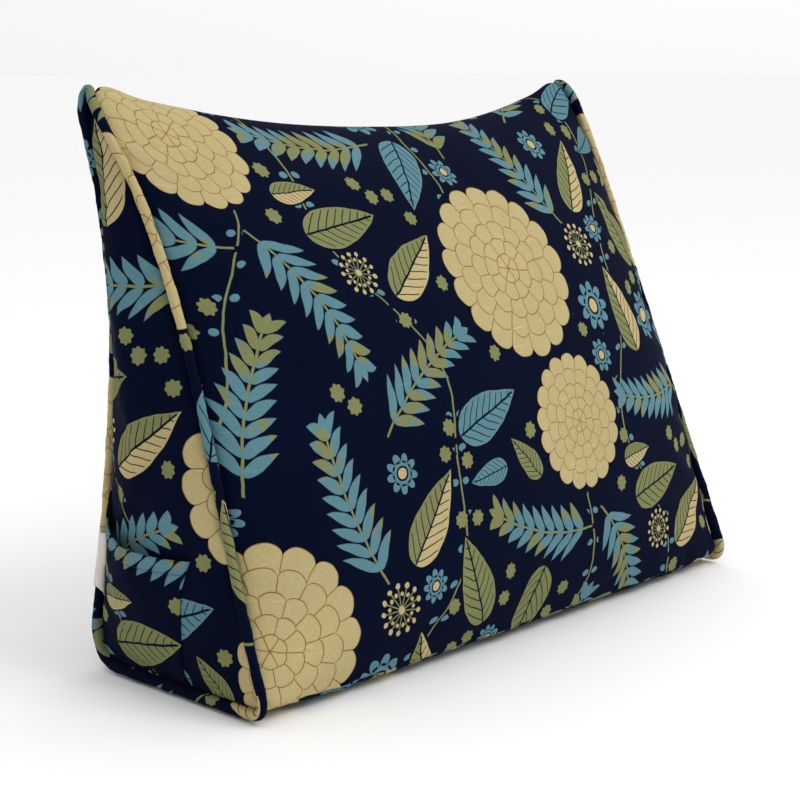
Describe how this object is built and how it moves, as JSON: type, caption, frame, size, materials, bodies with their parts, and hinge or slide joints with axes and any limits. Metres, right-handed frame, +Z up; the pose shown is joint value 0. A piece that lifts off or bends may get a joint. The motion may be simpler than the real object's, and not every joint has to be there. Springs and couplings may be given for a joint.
{
  "type": "wedge backrest cushion",
  "caption": "Filled triangular backrest cushion in printed cotton with piped side panels and a side pocket.",
  "frame": {"origin": "middle of the base, on the surface that the cushion stands on", "axes": "+X along the width to the right side panel, +Y from the sloping front to the upright back, +Z up"},
  "size_m": [0.6311, 0.2353, 0.4652],
  "materials": {
    "printed_cotton": "matt plain-weave cotton, navy with a printed botanical pattern in cream, olive and teal",
    "piping_cotton": "matt printed cotton cut on the bias round a cord",
    "label_tape": "smooth off-white woven tape"
  },
  "bodies": {
    "root": {"cushion": "printed_cotton", "piping_left": "piping_cotton", "piping_right": "piping_cotton", "side_pocket": "printed_cotton", "seam_label": "label_tape"}
  },
  "joints": []
}
